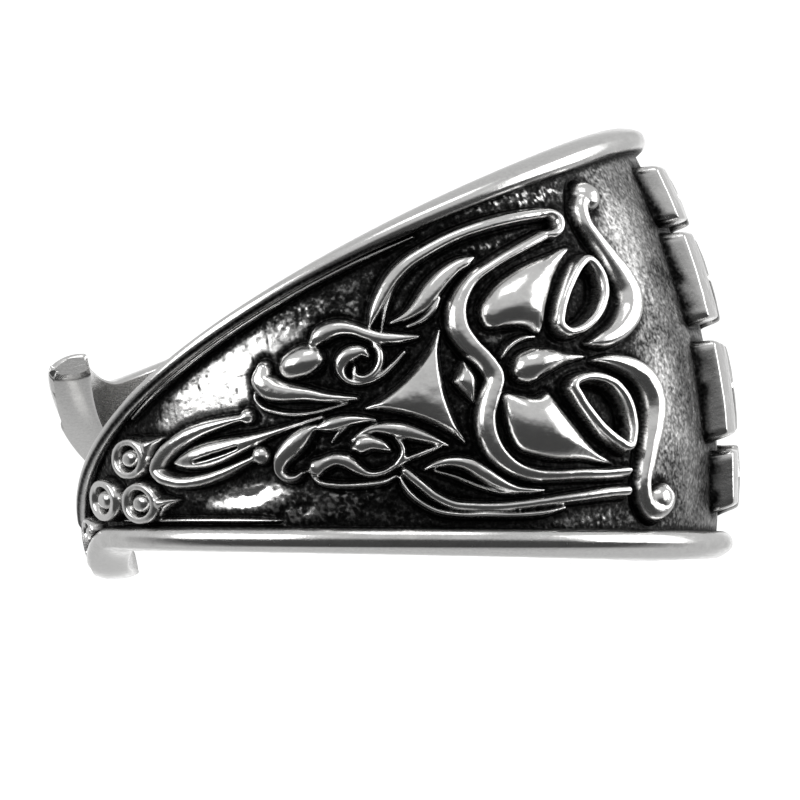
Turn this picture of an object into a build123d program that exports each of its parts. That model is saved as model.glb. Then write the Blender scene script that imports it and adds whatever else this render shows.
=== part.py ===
from math import atan2, cos, degrees, hypot, radians, sin, tan
from os import makedirs

from build123d import *

# A cast ring, open at the back, with two raised rims and a raised ornament on a sunk field.
# The whole ring is the same after half a turn about the line from its front to its back, so one
# half is made, with its ornament, and turned over for the other. Lengths are millimetres.
# Angles run round the finger hole, in degrees from the middle of the wide front.

BORE_DIAMETER = 19.8
RIM_WALL = 1.45
FIELD_WALL = 0.95
SIDE_HEIGHT = 10.8
TAPER_ANGLE = 12.2
DOME_RADIUS = 24.0
RIM_WIDTH = 0.93
SWEEP_FROM = 54.0
SWEEP_POWER = 2.85
FIELD_END = 176.0
TIP_ANGLE = 191.5
TIP_HEIGHT = 0.8
TIP_FLARE = 1.05
FLARE_FROM, FLARE_SPAN = 155.0, 30.0
RIM_THINNING = 0.45
THIN_RIM_FROM, THIN_RIM_SPAN = 40.0, 65.0
ORNAMENT_REACH = 1.027
ORNAMENT_DROP = 0.11
BACK_DROP = 0.24
BACK_DROP_FROM, BACK_DROP_SPAN = 80.0, 90.0
RIDGE_WIDTH = 1.0
RIDGE_HEIGHT = 0.6
EYE_WIDTH = 0.28
BOSS_HEIGHT = RIDGE_HEIGHT * 0.8
RIM_LINE_WIDTH = 0.2
RIM_LINE_HEIGHT = RIDGE_HEIGHT * 0.45
BALL_LIFT = RIDGE_HEIGHT * 0.15
TILE_HEIGHT = 0.8
TILE_CORNER = 0.3
TILE_EDGE = 0.12
PLATE_DRAFT = 0.07
BOSS_DRAFT = RIDGE_HEIGHT * 0.09
GROOVE_DRAFT = BOSS_DRAFT * 0.7
REST_TRIM = 0.12

BORE_RADIUS = BORE_DIAMETER / 2
RIM_RADIUS = BORE_RADIUS + RIM_WALL
FIELD_RADIUS = BORE_RADIUS + FIELD_WALL

# How deep what is raised is rooted in the band, and where a rim's rounded end starts and stops.
ROOT_DEPTH = FIELD_WALL * 0.32
RIM_INNER_INSET, RIM_OUTER_INSET = 0.2, 0.25
RIM_SHOULDER_DROP = RIM_WALL * 0.08

# A ridge's section: width at its root and at its shoulders as shares of the row's width, the
# shoulders' height as a share of the crest's, and the crest's height where the ridge is thinnest.
ROOT_SHARE = 1.2
SHOULDER_SHARE = 0.62
SHOULDER_RISE = 0.6
THIN_HEIGHT = 0.5
LOFT_ROWS = 12

# Each ridge: height as a share of RIDGE_HEIGHT, then its sections as rows of
# angle, place across the band (-1 lower edge, 1 upper edge), width as a share of RIDGE_WIDTH.
RIDGES = {
    "upper_crest": (1.0, [
        (42.4, 0.74, 0.60), (44.2, 0.70, 0.60), (44.7, 0.62, 0.55), (43.5, 0.53, 0.60),
        (41.8, 0.43, 0.75), (40.2, 0.34, 0.92), (39.4, 0.25, 1.02), (40.4, 0.175, 1.00),
        (42.8, 0.118, 0.90), (45.8, 0.08, 0.76), (48.6, 0.064, 0.60), (50.8, 0.06, 0.30),
    ]),
    "lower_crest": (1.0, [
        (51, -0.024, 0.20), (48.6, -0.034, 0.42), (45.8, -0.055, 0.62), (43, -0.09, 0.76),
        (40.6, -0.14, 0.86), (39.2, -0.205, 0.92), (39, -0.285, 0.90), (40, -0.365, 0.84),
        (41.5, -0.45, 0.76), (42.9, -0.54, 0.68), (44, -0.63, 0.60), (43.8, -0.70, 0.60),
        (42, -0.75, 0.68), (39.6, -0.745, 0.76), (37.9, -0.70, 0.70), (38.6, -0.65, 0.40),
    ]),
    "upper_lobe": (1.2, [
        (65.4, 0.215, 1.70), (64.6, 0.255, 2.15), (63.2, 0.31, 2.40), (61.2, 0.365, 2.30),
        (58.8, 0.415, 1.90), (56, 0.455, 1.40), (52.8, 0.492, 0.85), (49, 0.524, 0.20),
    ]),
    "lower_lobe": (1.2, [
        (65.2, -0.125, 1.50), (64.9, -0.185, 1.85), (64.2, -0.25, 2.10), (62.8, -0.315, 2.10),
        (60.6, -0.375, 1.75), (57.6, -0.425, 1.25), (54, -0.472, 0.75), (50, -0.518, 0.20),
    ]),
    "nose": (1.25, [
        (66.6, 0, 0.90), (65.3, 0.006, 1.15), (63.6, 0.015, 1.25), (61.6, 0.02, 1.10),
        (59.4, 0.022, 0.85), (57, 0.017, 0.55), (54.4, 0.009, 0.30), (51.6, 0.002, 0.15),
    ]),
    "brow": (1.0, [
        (48, -0.567, 0.40), (53, -0.567, 0.40), (58, -0.56, 0.40), (62.5, -0.556, 0.40),
        (66.8, -0.54, 0.45), (70, -0.495, 0.50), (72.4, -0.415, 0.60), (73.5, -0.30, 0.65),
        (73.2, -0.20, 0.65), (72, -0.11, 0.65), (70.4, -0.01, 0.62), (71.4, 0.08, 0.62),
        (73.4, 0.18, 0.66), (74.6, 0.29, 0.68), (74.3, 0.38, 0.65), (72.8, 0.455, 0.55),
        (70.2, 0.52, 0.45), (66.2, 0.56, 0.40), (61, 0.592, 0.40), (55, 0.618, 0.40),
    ]),
    "brow_turn": (0.95, [
        (54.4, 0.618, 0.38), (52.4, 0.612, 0.44), (51.2, 0.64, 0.48), (51.1, 0.68, 0.48),
        (52.3, 0.712, 0.44), (54.2, 0.722, 0.40),
    ]),
    "brow_arm": (0.9, [
        (53.6, 0.72, 0.40), (59.4, 0.745, 0.42), (65.6, 0.762, 0.42), (71.6, 0.766, 0.42),
        (76.6, 0.75, 0.44), (80.6, 0.724, 0.46), (83.6, 0.675, 0.46), (86, 0.60, 0.42),
        (87.8, 0.52, 0.32), (89, 0.45, 0.10),
    ]),
    "upper_leaf": (0.9, [
        (68.9, 0.622, 0.15), (70.2, 0.618, 0.35), (72.4, 0.61, 0.45), (75, 0.58, 0.55),
        (77.6, 0.53, 0.60), (80, 0.475, 0.50), (82.4, 0.44, 0.30), (85.4, 0.43, 0.12),
    ]),
    "upper_leaf_edge": (0.6, [
        (82.8, 0.38, 0.12), (80.4, 0.387, 0.20), (78, 0.425, 0.25), (76.6, 0.475, 0.20),
    ]),
    "upper_hook": (0.9, [
        (98.9, 0.49, 0.30), (98, 0.508, 0.50), (96.2, 0.525, 0.55), (94, 0.515, 0.50),
        (91.8, 0.475, 0.42), (89.8, 0.42, 0.40), (87.4, 0.365, 0.42), (84.6, 0.33, 0.34),
        (81.4, 0.305, 0.14),
    ]),
    "upper_curl": (0.9, [
        (90.3, 0.29, 0.20), (90.9, 0.32, 0.35), (92.4, 0.335, 0.50), (94.2, 0.325, 0.50),
        (95.2, 0.27, 0.36), (94.9, 0.205, 0.24), (93.5, 0.155, 0.20), (91.5, 0.135, 0.18),
        (89.2, 0.145, 0.18), (86.6, 0.19, 0.18), (84.2, 0.245, 0.14),
    ]),
    "inner_curl": (0.8, [
        (88.8, 0.34, 0.20), (88.2, 0.29, 0.26), (88.6, 0.225, 0.26), (89.9, 0.178, 0.24),
        (91.6, 0.165, 0.22), (93, 0.195, 0.22), (92.8, 0.25, 0.15),
    ]),
    "upper_bud": (1.25, [
        (105.4, 0.41, 0.35), (104.4, 0.413, 0.80), (102.4, 0.42, 0.95), (100.4, 0.415, 0.85),
        (98.9, 0.405, 0.60), (98.2, 0.40, 0.20),
    ]),
    "bud_hook": (1.0, [
        (108.4, 0.47, 0.50), (108.9, 0.40, 0.78), (108.1, 0.325, 0.84), (106.2, 0.263, 0.74),
        (104, 0.22, 0.62), (101.6, 0.178, 0.50), (99.2, 0.13, 0.40), (96.6, 0.09, 0.30),
        (93.6, 0.055, 0.18),
    ]),
    "long_loop": (0.9, [
        (113.6, 0.175, 0.20), (115.5, 0.19, 0.25), (118.5, 0.21, 0.34), (122, 0.23, 0.42),
        (126, 0.235, 0.50), (130, 0.21, 0.52), (133, 0.15, 0.52), (134.5, 0.07, 0.50),
        (133.5, -0.03, 0.50), (131.3, -0.115, 0.45), (128.5, -0.175, 0.42), (125.5, -0.203, 0.40),
        (122, -0.208, 0.36), (118.5, -0.192, 0.30), (116, -0.172, 0.25), (113, -0.15, 0.20),
    ]),
    "long_leaf": (0.8, [
        (130, 0.048, 0.15), (128.6, 0.035, 0.40), (126.4, 0.02, 0.62), (123.6, 0.005, 0.75),
        (120.4, -0.005, 0.74), (117, -0.01, 0.60), (113.5, -0.012, 0.42), (110, -0.01, 0.28),
        (106, -0.005, 0.18), (100, 0, 0.12),
    ]),
    "lower_hook": (1.0, [
        (105.4, -0.345, 0.15), (106.8, -0.372, 0.26), (108.5, -0.355, 0.30), (109.3, -0.295, 0.36),
        (108.6, -0.225, 0.50), (106.9, -0.165, 0.62), (104.8, -0.115, 0.60), (102.9, -0.075, 0.42),
        (101.3, -0.05, 0.15),
    ]),
    "small_leaf": (0.8, [
        (101.1, -0.067, 0.20), (100, -0.067, 0.35), (95, -0.07, 0.34), (93, -0.085, 0.22),
        (91.2, -0.103, 0.10),
    ]),
    "lower_leaf": (0.9, [
        (96, -0.20, 0.12), (94, -0.168, 0.22), (91.8, -0.155, 0.30), (89.6, -0.17, 0.42),
        (87.4, -0.20, 0.50), (85, -0.24, 0.42), (82.6, -0.285, 0.28), (80.2, -0.333, 0.10),
    ]),
    "lower_bud": (1.0, [
        (95.9, -0.245, 0.20), (95, -0.242, 0.50), (93.6, -0.235, 0.55), (92, -0.25, 0.42),
        (90.8, -0.275, 0.35), (90, -0.30, 0.15),
    ]),
    "lower_arc": (0.7, [
        (89, -0.215, 0.10), (88.1, -0.26, 0.18), (87.8, -0.315, 0.20), (88.4, -0.36, 0.20),
        (89.5, -0.385, 0.12),
    ]),
    "teardrop": (0.9, [
        (104.2, -0.34, 0.20), (103.4, -0.335, 0.50), (101.4, -0.31, 0.45), (99.2, -0.297, 0.42),
        (97.4, -0.325, 0.45), (96, -0.38, 0.36), (94.2, -0.428, 0.22), (91.8, -0.43, 0.20),
        (89.6, -0.40, 0.20), (87.4, -0.372, 0.20), (84.8, -0.352, 0.20), (81.4, -0.327, 0.10),
    ]),
    "teardrop_line": (0.7, [
        (104, -0.365, 0.12), (103, -0.425, 0.18), (100.4, -0.466, 0.20), (97.2, -0.486, 0.20),
        (94, -0.494, 0.20), (91.8, -0.49, 0.20), (90, -0.465, 0.12),
    ]),
    "tendril_leaf": (0.9, [
        (85, -0.445, 0.10), (82.8, -0.425, 0.25), (80.2, -0.422, 0.34), (77.6, -0.45, 0.42),
        (75.4, -0.505, 0.45), (73.2, -0.56, 0.40), (70.6, -0.602, 0.28), (67.4, -0.619, 0.20),
        (65, -0.622, 0.10),
    ]),
    "tendril": (0.8, [
        (88.3, -0.44, 0.25), (87.4, -0.48, 0.30), (86.2, -0.53, 0.30), (84.2, -0.605, 0.30),
        (81.6, -0.66, 0.30), (78, -0.682, 0.30), (73.2, -0.692, 0.30), (66.8, -0.683, 0.30),
        (62, -0.673, 0.34), (57.6, -0.665, 0.36), (53, -0.656, 0.38), (48.4, -0.654, 0.38),
    ]),
    "tendril_line": (0.7, [
        (89.3, -0.47, 0.12), (88.7, -0.55, 0.20), (87, -0.63, 0.20), (84.3, -0.695, 0.20),
        (81, -0.722, 0.20), (76.4, -0.731, 0.20), (70, -0.741, 0.20), (65.4, -0.735, 0.20),
        (61.5, -0.715, 0.12),
    ]),
}

# Each eye: angle and place across, along the middle of its raised edge, which goes once round.
EYES = {
    "upper_eye": [
        (48, 0.45), (46.3, 0.39), (46.2, 0.30), (47.9, 0.222), (50.8, 0.162), (53.6, 0.135),
        (56, 0.138), (57, 0.172), (56.3, 0.24), (54.4, 0.32), (51.8, 0.395), (49.8, 0.435),
    ],
    "lower_eye": [
        (57, -0.12), (54.8, -0.098), (51.6, -0.11), (48.8, -0.15), (46.8, -0.225), (46.1, -0.315),
        (46.4, -0.39), (47.6, -0.45), (49.8, -0.42), (52.4, -0.36), (54.8, -0.27), (56.4, -0.185),
    ],
}

# Concentric bosses: angle, place across, reach along and across as shares of RIDGE_WIDTH.
TARGETS = [
    (141.2, 0.37, 0.98, 0.70),
    (140.9, -0.215, 1.00, 0.72),
    (153.4, 0.13, 1.10, 0.74),
    (166.2, 0.03, 0.90, 0.50),
]

# Small balls: angle, place across, radius as a share of RIDGE_WIDTH.
BALLS = [(113.2, 0.178, 0.29), (112.2, -0.147, 0.35), (41.6, 0.737, 0.50)]

# Thin lines just inside a rim: 1 for the upper rim or -1 for the lower, first and last angle.
RIM_LINES = [(1, 78, 140), (-1, 112, 150)]

# Flat plates: height share, middle (angle, place), corners (angle, place, bow of the side after it).
PLATES = [
    (0.85, (82, 0), [(77.6, 0.31, 0.30), (77.2, -0.33, 0.25), (92.6, -0.02, 0.30)]),
    (0.75, (75, 0), [(73.3, 0.01, -0.03), (74.6, -0.12, -0.03), (77.2, 0.01, -0.03), (74.8, 0.11, -0.03)]),
]

# Flat-topped tiles on the front. Each outline's corners: angle, place across. Each outline is there
# twice, the second after half a turn.
TILES = {
    "top_tile": [(20.5, 0.505), (19.5, 0.765), (9.5, 0.765), (9.5, 0.505)],
    "low_tile": [(9.5, -0.515), (18, -0.515), (17, -0.76), (9.5, -0.76)],
    "lozenge": [(6.5, 0.635), (0, 0.79), (-6.5, 0.635), (0, 0.48)],
    "wide_tile": [(22.5, 0.055), (21.5, 0.455), (11.5, 0.455), (11.5, 0.055)],
    "low_wide_tile": [(22.5, -0.03), (11.5, -0.055), (11.5, -0.455), (21.5, -0.455)],
    "wide_lozenge": [(9, 0.245), (0, 0.455), (-9, 0.245), (0, 0.035)],
}


def ease(x):
    x = min(max(x, 0), 1)
    return x * x * (3 - 2 * x)


def wedge(t):
    """Half of the ring's height at an angle, before the back opens."""
    return SIDE_HEIGHT / 2 + RIM_RADIUS * tan(radians(TAPER_ANGLE)) * cos(radians(t))


def lower(t):
    """The lower edge, which flares downward at the tip."""
    return -wedge(t) - TIP_FLARE * ease((t - FLARE_FROM) / FLARE_SPAN)


def upper(t):
    """The upper edge drops toward the back, to leave the tip its own height."""
    drop = wedge(TIP_ANGLE) - lower(TIP_ANGLE) - TIP_HEIGHT
    return wedge(t) - drop * max((t - SWEEP_FROM) / (TIP_ANGLE - SWEEP_FROM), 0) ** SWEEP_POWER


def height_at(t, place_across):
    """Height of a place on the ornament, which sits lower on the band toward the back."""
    reach = ORNAMENT_REACH * (upper(t) - lower(t)) / 2
    middle = (upper(t) + lower(t)) / 2 + place_across * reach
    return middle - ORNAMENT_DROP - BACK_DROP * ease((t - BACK_DROP_FROM) / BACK_DROP_SPAN)


def rim_upper(t):
    """The upper rim thins where the band begins to narrow."""
    return RIM_WIDTH * (1 - RIM_THINNING * ease((t - THIN_RIM_FROM) / THIN_RIM_SPAN))


def field_radius(t, w):
    a, b = lower(t) + RIM_WIDTH, upper(t) - rim_upper(t)
    x = min(abs(w - (a + b) / 2), (b - a) / 2)
    return FIELD_RADIUS + ((b - a) ** 2 / 4 - x * x) / (2 * DOME_RADIUS)


def place(t, r, w):
    return Vector(r * cos(radians(t)), -r * sin(radians(t)), w)


def rim_end(t, side, edge):
    """The rounded end of a rim, from under the bore's wall to its outer shoulder."""
    wide = rim_upper(t) if side > 0 else RIM_WIDTH
    inner = place(t, BORE_RADIUS - ROOT_DEPTH, edge - side * wide * RIM_INNER_INSET)
    top = place(t, BORE_RADIUS + RIM_WALL / 2, edge)
    shoulder = place(t, RIM_RADIUS - RIM_SHOULDER_DROP, edge - side * wide * RIM_OUTER_INSET)
    return inner, shoulder, Edge.make_three_point_arc(inner, top, shoulder)


def band_section(t):
    lo, up = lower(t), upper(t)
    a, b = lo + RIM_WIDTH, up - rim_upper(t)
    inner_up, shoulder_up, end_up = rim_end(t, 1, up)
    inner_lo, shoulder_lo, end_lo = rim_end(t, -1, lo)
    foot_up, foot_lo = place(t, FIELD_RADIUS, b), place(t, FIELD_RADIUS, a)
    middle = (a + b) / 2
    crown_up = Edge.make_three_point_arc(shoulder_up, place(t, RIM_RADIUS, (up + b) / 2), foot_up)
    dome = Edge.make_three_point_arc(foot_up, place(t, field_radius(t, middle), middle), foot_lo)
    crown_lo = Edge.make_three_point_arc(foot_lo, place(t, RIM_RADIUS, (lo + a) / 2), shoulder_lo)
    return Wire([Edge.make_line(inner_lo, inner_up), end_up, crown_up, dome, crown_lo, end_lo])


def tip_section(t):
    lo, up = lower(t), upper(t)
    inner_up, shoulder_up, end_up = rim_end(t, 1, up)
    inner_lo, shoulder_lo, end_lo = rim_end(t, -1, lo)
    crown = Edge.make_three_point_arc(shoulder_up, place(t, RIM_RADIUS, (up + lo) / 2), shoulder_lo)
    return Wire([Edge.make_line(inner_lo, inner_up), end_up, crown, end_lo])


def half_band():
    """From the middle of the front to one tip; the field stops at a solid tip."""
    spans, tip_spans = 14, 3
    band = Solid.make_loft([band_section(FIELD_END * i / spans) for i in range(spans + 1)])
    step = (TIP_ANGLE - FIELD_END) / tip_spans
    tip = Solid.make_loft([tip_section(FIELD_END + step * i) for i in range(tip_spans + 1)])
    return band.fuse(tip)


def seat(t, place_across):
    """A point on the field with the directions round the ring and outwards."""
    w = height_at(t, place_across)
    along = Vector(-sin(radians(t)), -cos(radians(t)), 0)
    out = Vector(cos(radians(t)), -sin(radians(t)), 0)
    return place(t, field_radius(t, w), w), along, out


def ridge(rows, high):
    """A raised stroke lofted through one four-edged section for each row, in runs that share ends."""
    widest = max(wide for _, _, wide in rows)
    closed = rows[0] == rows[-1]
    wires = []
    for i, (t, across, wide) in enumerate(rows):
        before, after = rows[max(i - 1, 0)], rows[min(i + 1, len(rows) - 1)]
        if closed and i in (0, len(rows) - 1):
            before, after = rows[-2], rows[1]
        run = radians(after[0] - before[0]) * FIELD_RADIUS
        climb = height_at(after[0], after[1]) - height_at(before[0], before[1])
        size = hypot(run, climb)
        point, along, out = seat(t, across)
        side = along * (-climb / size) + Vector(0, 0, run / size)
        half = wide * RIDGE_WIDTH / 2
        h = high * (THIN_HEIGHT + (1 - THIN_HEIGHT) * wide / widest)
        root, top = side * half * ROOT_SHARE, side * half * SHOULDER_SHARE
        root_a, root_b = point + root - out * ROOT_DEPTH, point - root - out * ROOT_DEPTH
        rise = out * h * SHOULDER_RISE
        top_a, top_b = point + top + rise, point - top + rise
        wires.append(Wire([
            Edge.make_line(root_a, root_b),
            Edge.make_line(root_b, top_b),
            Edge.make_three_point_arc(top_b, point + out * h, top_a),
            Edge.make_line(top_a, root_a),
        ]))
    longest = LOFT_ROWS // 2 if closed else LOFT_ROWS
    cuts = [0, *range(longest, len(wires) - LOFT_ROWS // 2, longest), len(wires) - 1]
    return [Solid.make_loft(wires[i:j + 1]) for i, j in zip(cuts, cuts[1:])]


def eye(places):
    rows = [(t, across, EYE_WIDTH) for t, across in places]
    return ridge(rows + rows[:1], RIDGE_HEIGHT)


def oval(t, across, reach_along, reach_across, low, high, draft):
    point, along, out = seat(t, across)
    rings = []
    for z, grow in ((low, draft), (high, -draft)):
        plane = Plane(origin=point + out * z, x_dir=along, z_dir=out)
        a, b = reach_along * RIDGE_WIDTH + grow, reach_across * RIDGE_WIDTH + grow
        rings.append(Wire.make_ellipse(a, b, plane))
    return Solid.make_loft(rings, ruled=True)


def target(t, across, reach_along, reach_across):
    """Outer ring, groove and inner dot of a concentric boss. The groove is cut right through the boss."""
    deep, high = ROOT_DEPTH, BOSS_HEIGHT
    outer = oval(t, across, reach_along, reach_across, -deep, high, BOSS_DRAFT)
    groove = oval(t, across, reach_along * 0.66, reach_across * 0.6, -deep * 1.5, high * 1.2, -GROOVE_DRAFT)
    dot = oval(t, across, reach_along * 0.42, reach_across * 0.36, -deep, high, BOSS_DRAFT)
    return [outer.cut(groove), dot]


def plate(high, middle, corners):
    """A flat-topped shape whose sides bow, inwards where the bow is positive."""
    point, along, out = seat(*middle)
    w0 = height_at(*middle)
    rings = []
    for z, draft in ((-ROOT_DEPTH * 1.5, -PLATE_DRAFT), (high * RIDGE_HEIGHT, PLATE_DRAFT)):

        def spot(x, y):
            return point + along * x + Vector(0, 0, y) + out * z

        outline = []
        for t, across, bow in corners:
            x, y = radians(t - middle[0]) * FIELD_RADIUS, height_at(t, across) - w0
            k = 1 - draft / hypot(x, y)
            outline.append((x * k, y * k, bow * RIDGE_WIDTH))
        edges = []
        for (x, y, bow), (u, w, _) in zip(outline, outline[1:] + outline[:1]):
            half_x, half_y = (x + u) / 2, (y + w) / 2
            k = 1 - bow / hypot(half_x, half_y)
            edges.append(Edge.make_three_point_arc(spot(x, y), spot(half_x * k, half_y * k), spot(u, w)))
        rings.append(Wire(edges))
    return Solid.make_loft(rings, ruled=True)


def ball(t, across, share):
    point, along, out = seat(t, across)
    return Solid.make_sphere(share * RIDGE_WIDTH, Plane(point + out * BALL_LIFT, x_dir=along, z_dir=out))


def rim_line(side, first, last):
    """A thin raised line just inside a rim, from one angle to another, fading at both ends."""
    spans, fade = 6, 0.4
    rows = []
    for i in range(spans + 1):
        t = first + (last - first) * i / spans
        edge = upper(t) - rim_upper(t) if side > 0 else lower(t) + RIM_WIDTH
        zero, one = height_at(t, 0), height_at(t, 1)
        wide = RIM_LINE_WIDTH * (fade if i in (0, spans) else 1)
        rows.append((t, (edge - side * RIM_LINE_WIDTH - zero) / (one - zero), wide))
    return ridge(rows, RIM_LINE_HEIGHT)


def ornament():
    pieces = []
    for share, rows in RIDGES.values():
        pieces += ridge(rows, share * RIDGE_HEIGHT)
    for places in EYES.values():
        pieces += eye(places)
    for row in TARGETS:
        pieces += target(*row)
    pieces += [ball(*row) for row in BALLS]
    pieces += [plate(*row) for row in PLATES]
    for row in RIM_LINES:
        pieces += rim_line(*row)
    return pieces


def half_turn(solid):
    return solid.rotate(Axis.X, 180)


def tile_layer():
    """The layer round the ring that the front's tiles are cut from, domed as the field is."""
    foot = wedge(0) - RIM_WIDTH
    inner, outer = FIELD_RADIUS - ROOT_DEPTH, FIELD_RADIUS + TILE_HEIGHT
    crown = outer + foot * foot / (2 * DOME_RADIUS)
    dome = Edge.make_three_point_arc((outer, 0, -foot), (crown, 0, 0), (outer, 0, foot))
    back = Polyline((outer, 0, foot), (inner, 0, foot), (inner, 0, -foot), (outer, 0, -foot))
    return revolve(make_face([dome, *back.edges()]), Axis.Z)


def front_tiles():
    layer = tile_layer()
    reach = ORNAMENT_REACH * wedge(0)
    tiles = []
    for corners in TILES.values():
        outline = [(-FIELD_RADIUS * sin(radians(t)), across * reach) for t, across in corners]
        face = make_face(Polyline(*outline, close=True))
        face = fillet(face.vertices(), TILE_CORNER)
        tile = extrude(Plane.YZ * face, RIM_RADIUS * 2) & layer
        top = max(tile.faces(), key=lambda side: side.area)
        tile = fillet(top.edges(), TILE_EDGE)
        tiles += [tile, half_turn(tile)]
    return tiles


makedirs("parts", exist_ok=True)

half = half_band().fuse(*ornament())
ring = half.fuse(half_turn(half))
ring = ring.fuse(*front_tiles())
ring = ring.cut(Cylinder(BORE_RADIUS, SIDE_HEIGHT * 5))

# On a table the ring stands on the front of its lower rim and on the lower end of the near tip.
run = (BORE_RADIUS + RIM_RADIUS) / 2 * (1 - cos(radians(TIP_ANGLE)))
REST_ANGLE = degrees(atan2(wedge(0) + lower(TIP_ANGLE), run))
ring = ring.rotate(Axis.Y, -REST_ANGLE)
box = ring.bounding_box()
floor = box.min.Z + REST_TRIM
below = Box(RIM_RADIUS * 6, RIM_RADIUS * 6, RIM_RADIUS, align=(Align.CENTER, Align.CENTER, Align.MAX))
ring = ring.cut(below.moved(Location((0, 0, floor))))
box = ring.bounding_box()
shift = Vector(-(box.min.X + box.max.X) / 2, -(box.min.Y + box.max.Y) / 2, -box.min.Z)
ring = ring.moved(Location(shift))
if len(ring.solids()) != 1:
    raise SystemExit("the ring is not one solid")
ring = ring.solids()[0]

export_step(ring, "parts/cast_ring.step")
print("rest angle", round(REST_ANGLE, 3), "hole centre", tuple(round(c, 3) for c in shift))
print("volume", round(ring.volume, 2), "valid", ring.is_valid)
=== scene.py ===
from math import cos, pi, radians, sin, tau

import bpy
import numpy as np
from mathutils import Matrix, Vector


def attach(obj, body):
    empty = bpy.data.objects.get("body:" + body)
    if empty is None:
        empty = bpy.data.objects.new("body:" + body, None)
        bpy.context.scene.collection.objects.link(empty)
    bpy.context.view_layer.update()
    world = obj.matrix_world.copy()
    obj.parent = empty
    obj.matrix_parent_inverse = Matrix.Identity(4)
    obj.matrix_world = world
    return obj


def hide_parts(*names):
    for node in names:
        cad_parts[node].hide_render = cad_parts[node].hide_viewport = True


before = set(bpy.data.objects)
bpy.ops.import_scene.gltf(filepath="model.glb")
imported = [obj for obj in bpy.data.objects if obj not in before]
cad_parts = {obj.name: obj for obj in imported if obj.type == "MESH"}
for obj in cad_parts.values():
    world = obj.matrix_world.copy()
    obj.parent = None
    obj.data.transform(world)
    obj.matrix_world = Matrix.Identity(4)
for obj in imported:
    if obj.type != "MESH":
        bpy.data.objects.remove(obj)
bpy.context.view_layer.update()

# The visual model of a cast silver ring, as a height map wrapped round the band. Both halves of the
# ring come from one map, because the ring is the same after half a turn about its front-to-back line.
# Shape sizes are millimetres and angles are degrees from the middle of the front, as in the CAD.

MM = 0.001

# The band, as in the CAD.
BORE_RADIUS = 9.9
RIM_WALL = 1.45
FIELD_WALL = 0.95
RIM_RADIUS = BORE_RADIUS + RIM_WALL
FIELD_RADIUS = BORE_RADIUS + FIELD_WALL
SIDE_HEIGHT = 10.8
TAPER_ANGLE = 12.2
DOME_RADIUS = 24.0
RIM_WIDTH = 0.93
SWEEP_FROM = 54.0
SWEEP_POWER = 2.85
FIELD_END = 176.0
TIP_ANGLE = 191.5
TIP_HEIGHT = 0.8
TIP_FLARE = 1.05
FLARE_FROM, FLARE_SPAN = 155.0, 30.0
RIM_THINNING = 0.45
THIN_RIM_FROM, THIN_RIM_SPAN = 40.0, 65.0

# The ornament's place on the field and its sizes, as in the CAD.
ORNAMENT_REACH = 1.027
ORNAMENT_DROP = 0.11
BACK_DROP = 0.24
BACK_DROP_FROM, BACK_DROP_SPAN = 80.0, 90.0
RIDGE_WIDTH = 1.0
RIDGE_HEIGHT = 0.6
EYE_WIDTH = 0.28
BOSS_HEIGHT = 0.48
RIM_LINE_WIDTH = 0.2
RIM_LINE_HEIGHT = 0.27
TILE_HEIGHT = 0.8
TILE_CORNER = 0.3
TILE_EDGE = 0.14

# How the ring rests: its slant, and the middle of its finger hole.
REST_ANGLE = 10.262
HOLE_CENTRE = (-0.552, 0.0, 5.806)
REST = Matrix.Rotation(radians(-REST_ANGLE), 3, "Y")

# The map: its pitch, its reach before the front's middle, past the tip and up and down, and the
# margin round a stroke in which it is drawn.
PITCH = 0.03
MAP_BEFORE, MAP_AFTER, MAP_REACH = 0.9, 0.6, 9.3
MARGIN, GROOVE_MARGIN = 0.7, 0.3
PATH_STEP = 0.06

# The gap where no stroke is near, the rounds in which a dome forms, the points that are measured at
# once, and small values that keep divisions safe.
FAR_GAP = 9.0
DOME_ROUNDS = 2500
BATCH = 8192
TINY, LEVEL, LEAST_HALF = 1e-12, 1e-9, 0.01

# Forms on the map. Flank and top are the powers of crest(); the shares are of a form's height.
STROKE_FLANK, STROKE_TOP = 3.0, 0.75
EYE_FLANK = 4
EYE_DEPTH, EYE_SLOPE = 0.12, 0.25
MOUND_FOOT = 0.4
GROOVE_DARK = 1.6
ROUND_TOP = 0.6
BOSS_FLANK = 4
BOSS_RING, BOSS_RING_HALF, BOSS_DOT = 0.81, 0.26, 0.50
BOSS_DOT_SHARE = 0.95
BALL_LIFT, BALL_FLANK, BALL_TOP = 0.1, 2, 0.5
KNOB_FLANK, KNOB_SHARE = 2.6, 0.94
PLATE_SIDE, PLATE_RISE, PLATE_CROWN = 0.45, 0.42, 0.32
PLATE_FOOT = 0.07
PLATE_BEVEL, TAIL_BEVEL = 0.16, 0.12
TILE_SIDE, TILE_ROUND = 0.80, 0.20
TILE_FOOT, TILE_SPREAD = 0.08, 0.3
RIM_LINE_END = 0.4

# Grains of the metal: reach round the ring and up in mm, and the seed.
GRAINS = {
    "coarse": (0.34, 0.34, 11),
    "fine": (0.13, 0.13, 12),
    "streak": (0.10, 0.9, 13),
    "patch": (1.3, 1.1, 14),
    "tiny": (0.075, 0.075, 15),
}
CROWN_GRAIN = (0.5, 0.2, 21)
LATTICE = 128
GRAIN_BLEND = 1.5

# The grains' shares in the tone of the field, in its height and in the height of what is raised.
TONE_GRAIN = {"coarse": 0.25, "fine": 0.28}
TONE_PATCHES = {"patch": 0.30, "tiny": 0.15}
FIELD_ROUGH = {"coarse": 0.045, "fine": 0.03, "streak": 0.02}
RAISED_ROUGH = {"coarse": 0.014, "fine": 0.006}
SPARKLE = 0.2

# Dark cracks in the worn places: depth in tone, and the level of the grain below which they lie.
CRACKS = {"streak": (0.30, 0.30), "fine": (0.35, 0.26)}
CRACK_EDGE = 0.12

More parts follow.
